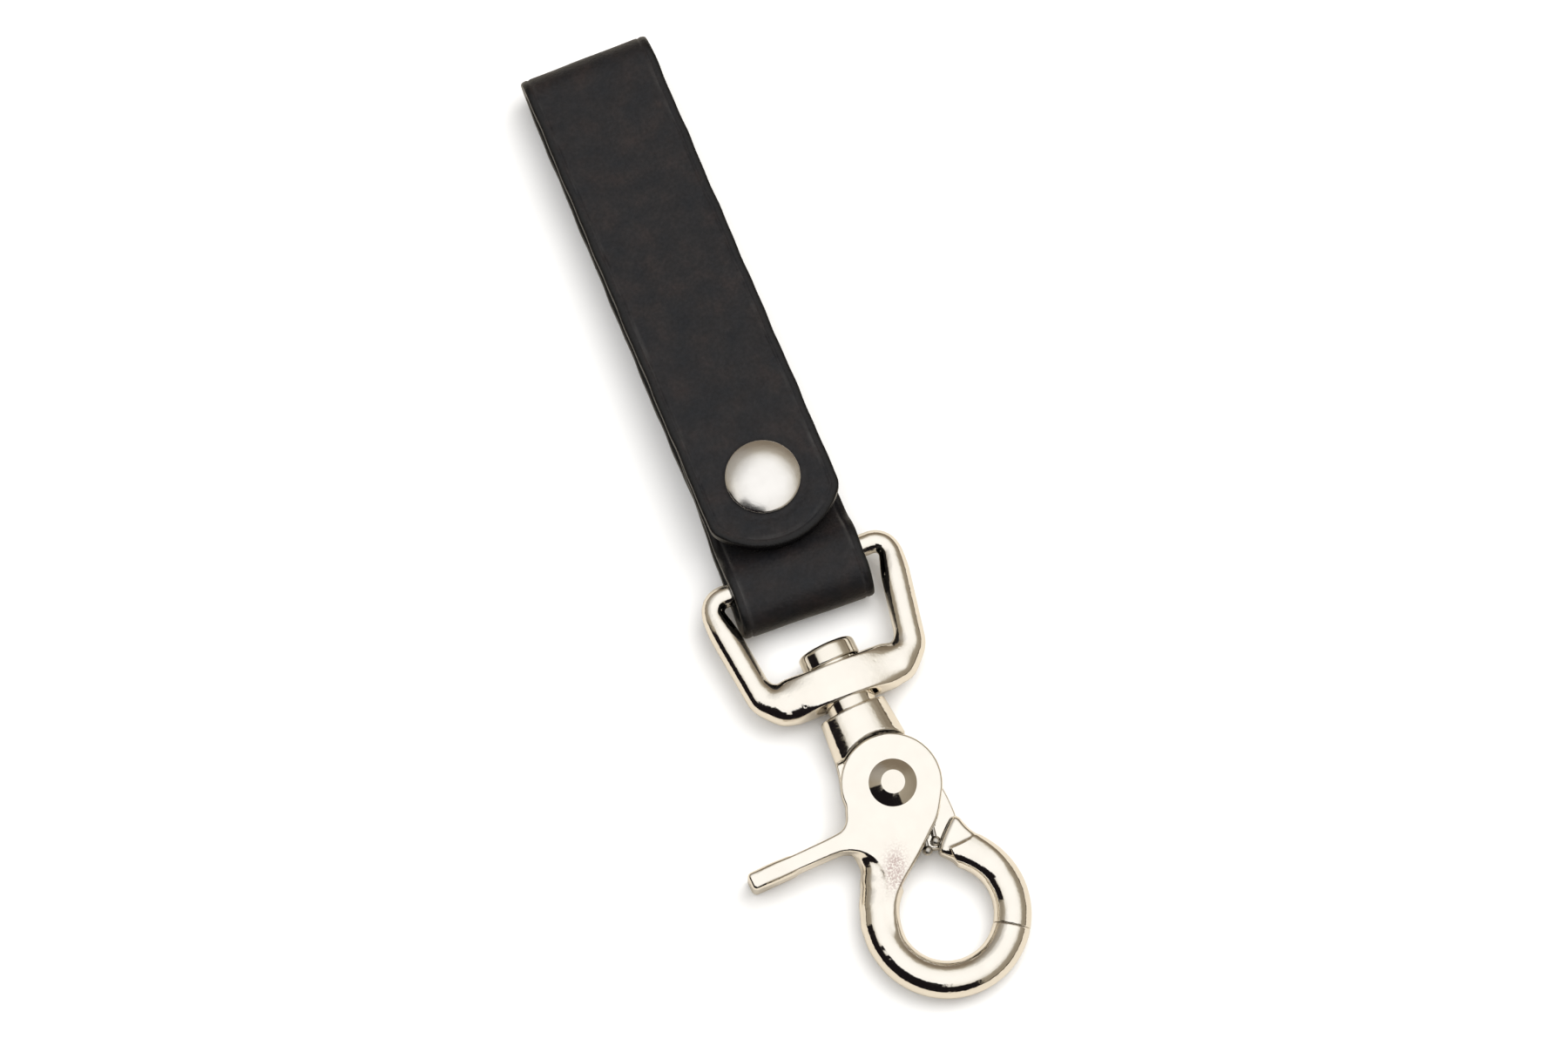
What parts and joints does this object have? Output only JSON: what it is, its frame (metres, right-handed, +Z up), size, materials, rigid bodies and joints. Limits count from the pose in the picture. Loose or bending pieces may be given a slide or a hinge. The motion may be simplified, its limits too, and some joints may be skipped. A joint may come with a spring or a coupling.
{
  "type": "leather key strap with swivel trigger snap",
  "caption": "Black leather belt loop strap closed by a domed press stud, carrying a nickel swivel eye and a trigger snap hook with a thumb lever.",
  "frame": {"origin": "on the strap's flat back face, on its centreline, in the middle of the belt opening", "axes": "+X across the strap, +Y along it towards the top fold, +Z up from the back face towards the domed stud; the hook hangs towards -Y"},
  "size_m": [0.0478, 0.1873, 0.0148],
  "materials": {
    "black_leather": "satin, pebbled grain, burnished edges",
    "snap_nickel": "satin nickel plate",
    "hook_nickel": "polished nickel plate over die casting",
    "spring_steel": "drawn wire"
  },
  "bodies": {
    "strap": {"strap_back_loop": "black_leather", "strap_fold": "black_leather", "snap_stud": "snap_nickel", "snap_rear_post": "snap_nickel"},
    "flap": {"strap_flap": "black_leather", "snap_cap_shell": "snap_nickel", "snap_cap_barrel": "snap_nickel", "snap_socket_shell": "snap_nickel", "snap_socket_spring": "spring_steel"},
    "eye": {"swivel_eye": "hook_nickel"},
    "hook": {"hook_body": "hook_nickel", "swivel_pin": "hook_nickel", "pivot_rivet": "hook_nickel", "trigger_spring": "spring_steel"},
    "trigger": {"trigger": "hook_nickel"}
  },
  "joints": [
    {"name": "flap_open", "type": "hinge", "parent": "strap", "child": "flap", "pos_m": [0, 0.0377, 0.0051], "axis": [-1, 0, 0], "range_deg": [0, 100], "deforming": ["strap_fold", "snap_socket_spring"]},
    {"name": "eye_swing", "type": "hinge", "parent": "strap", "child": "eye", "pos_m": [-0.00026, -0.06256, 0.00569], "axis": [0.9998, -0.0215, 0], "range_deg": [-90, 90]},
    {"name": "hook_swivel", "type": "hinge", "parent": "eye", "child": "hook", "pos_m": [-0.00074, -0.08495, 0.00534], "axis": [-0.0479, 0.9982, 0.0349], "continuous": true},
    {"name": "trigger_open", "type": "hinge", "parent": "hook", "child": "trigger", "pos_m": [0.00052, -0.10539, 0.00462], "axis": [-0.0017, 0.0349, -0.9994], "range_deg": [0, 25], "stiffness_Nm_per_rad": 0.05, "deforming": ["trigger_spring"]}
  ]
}
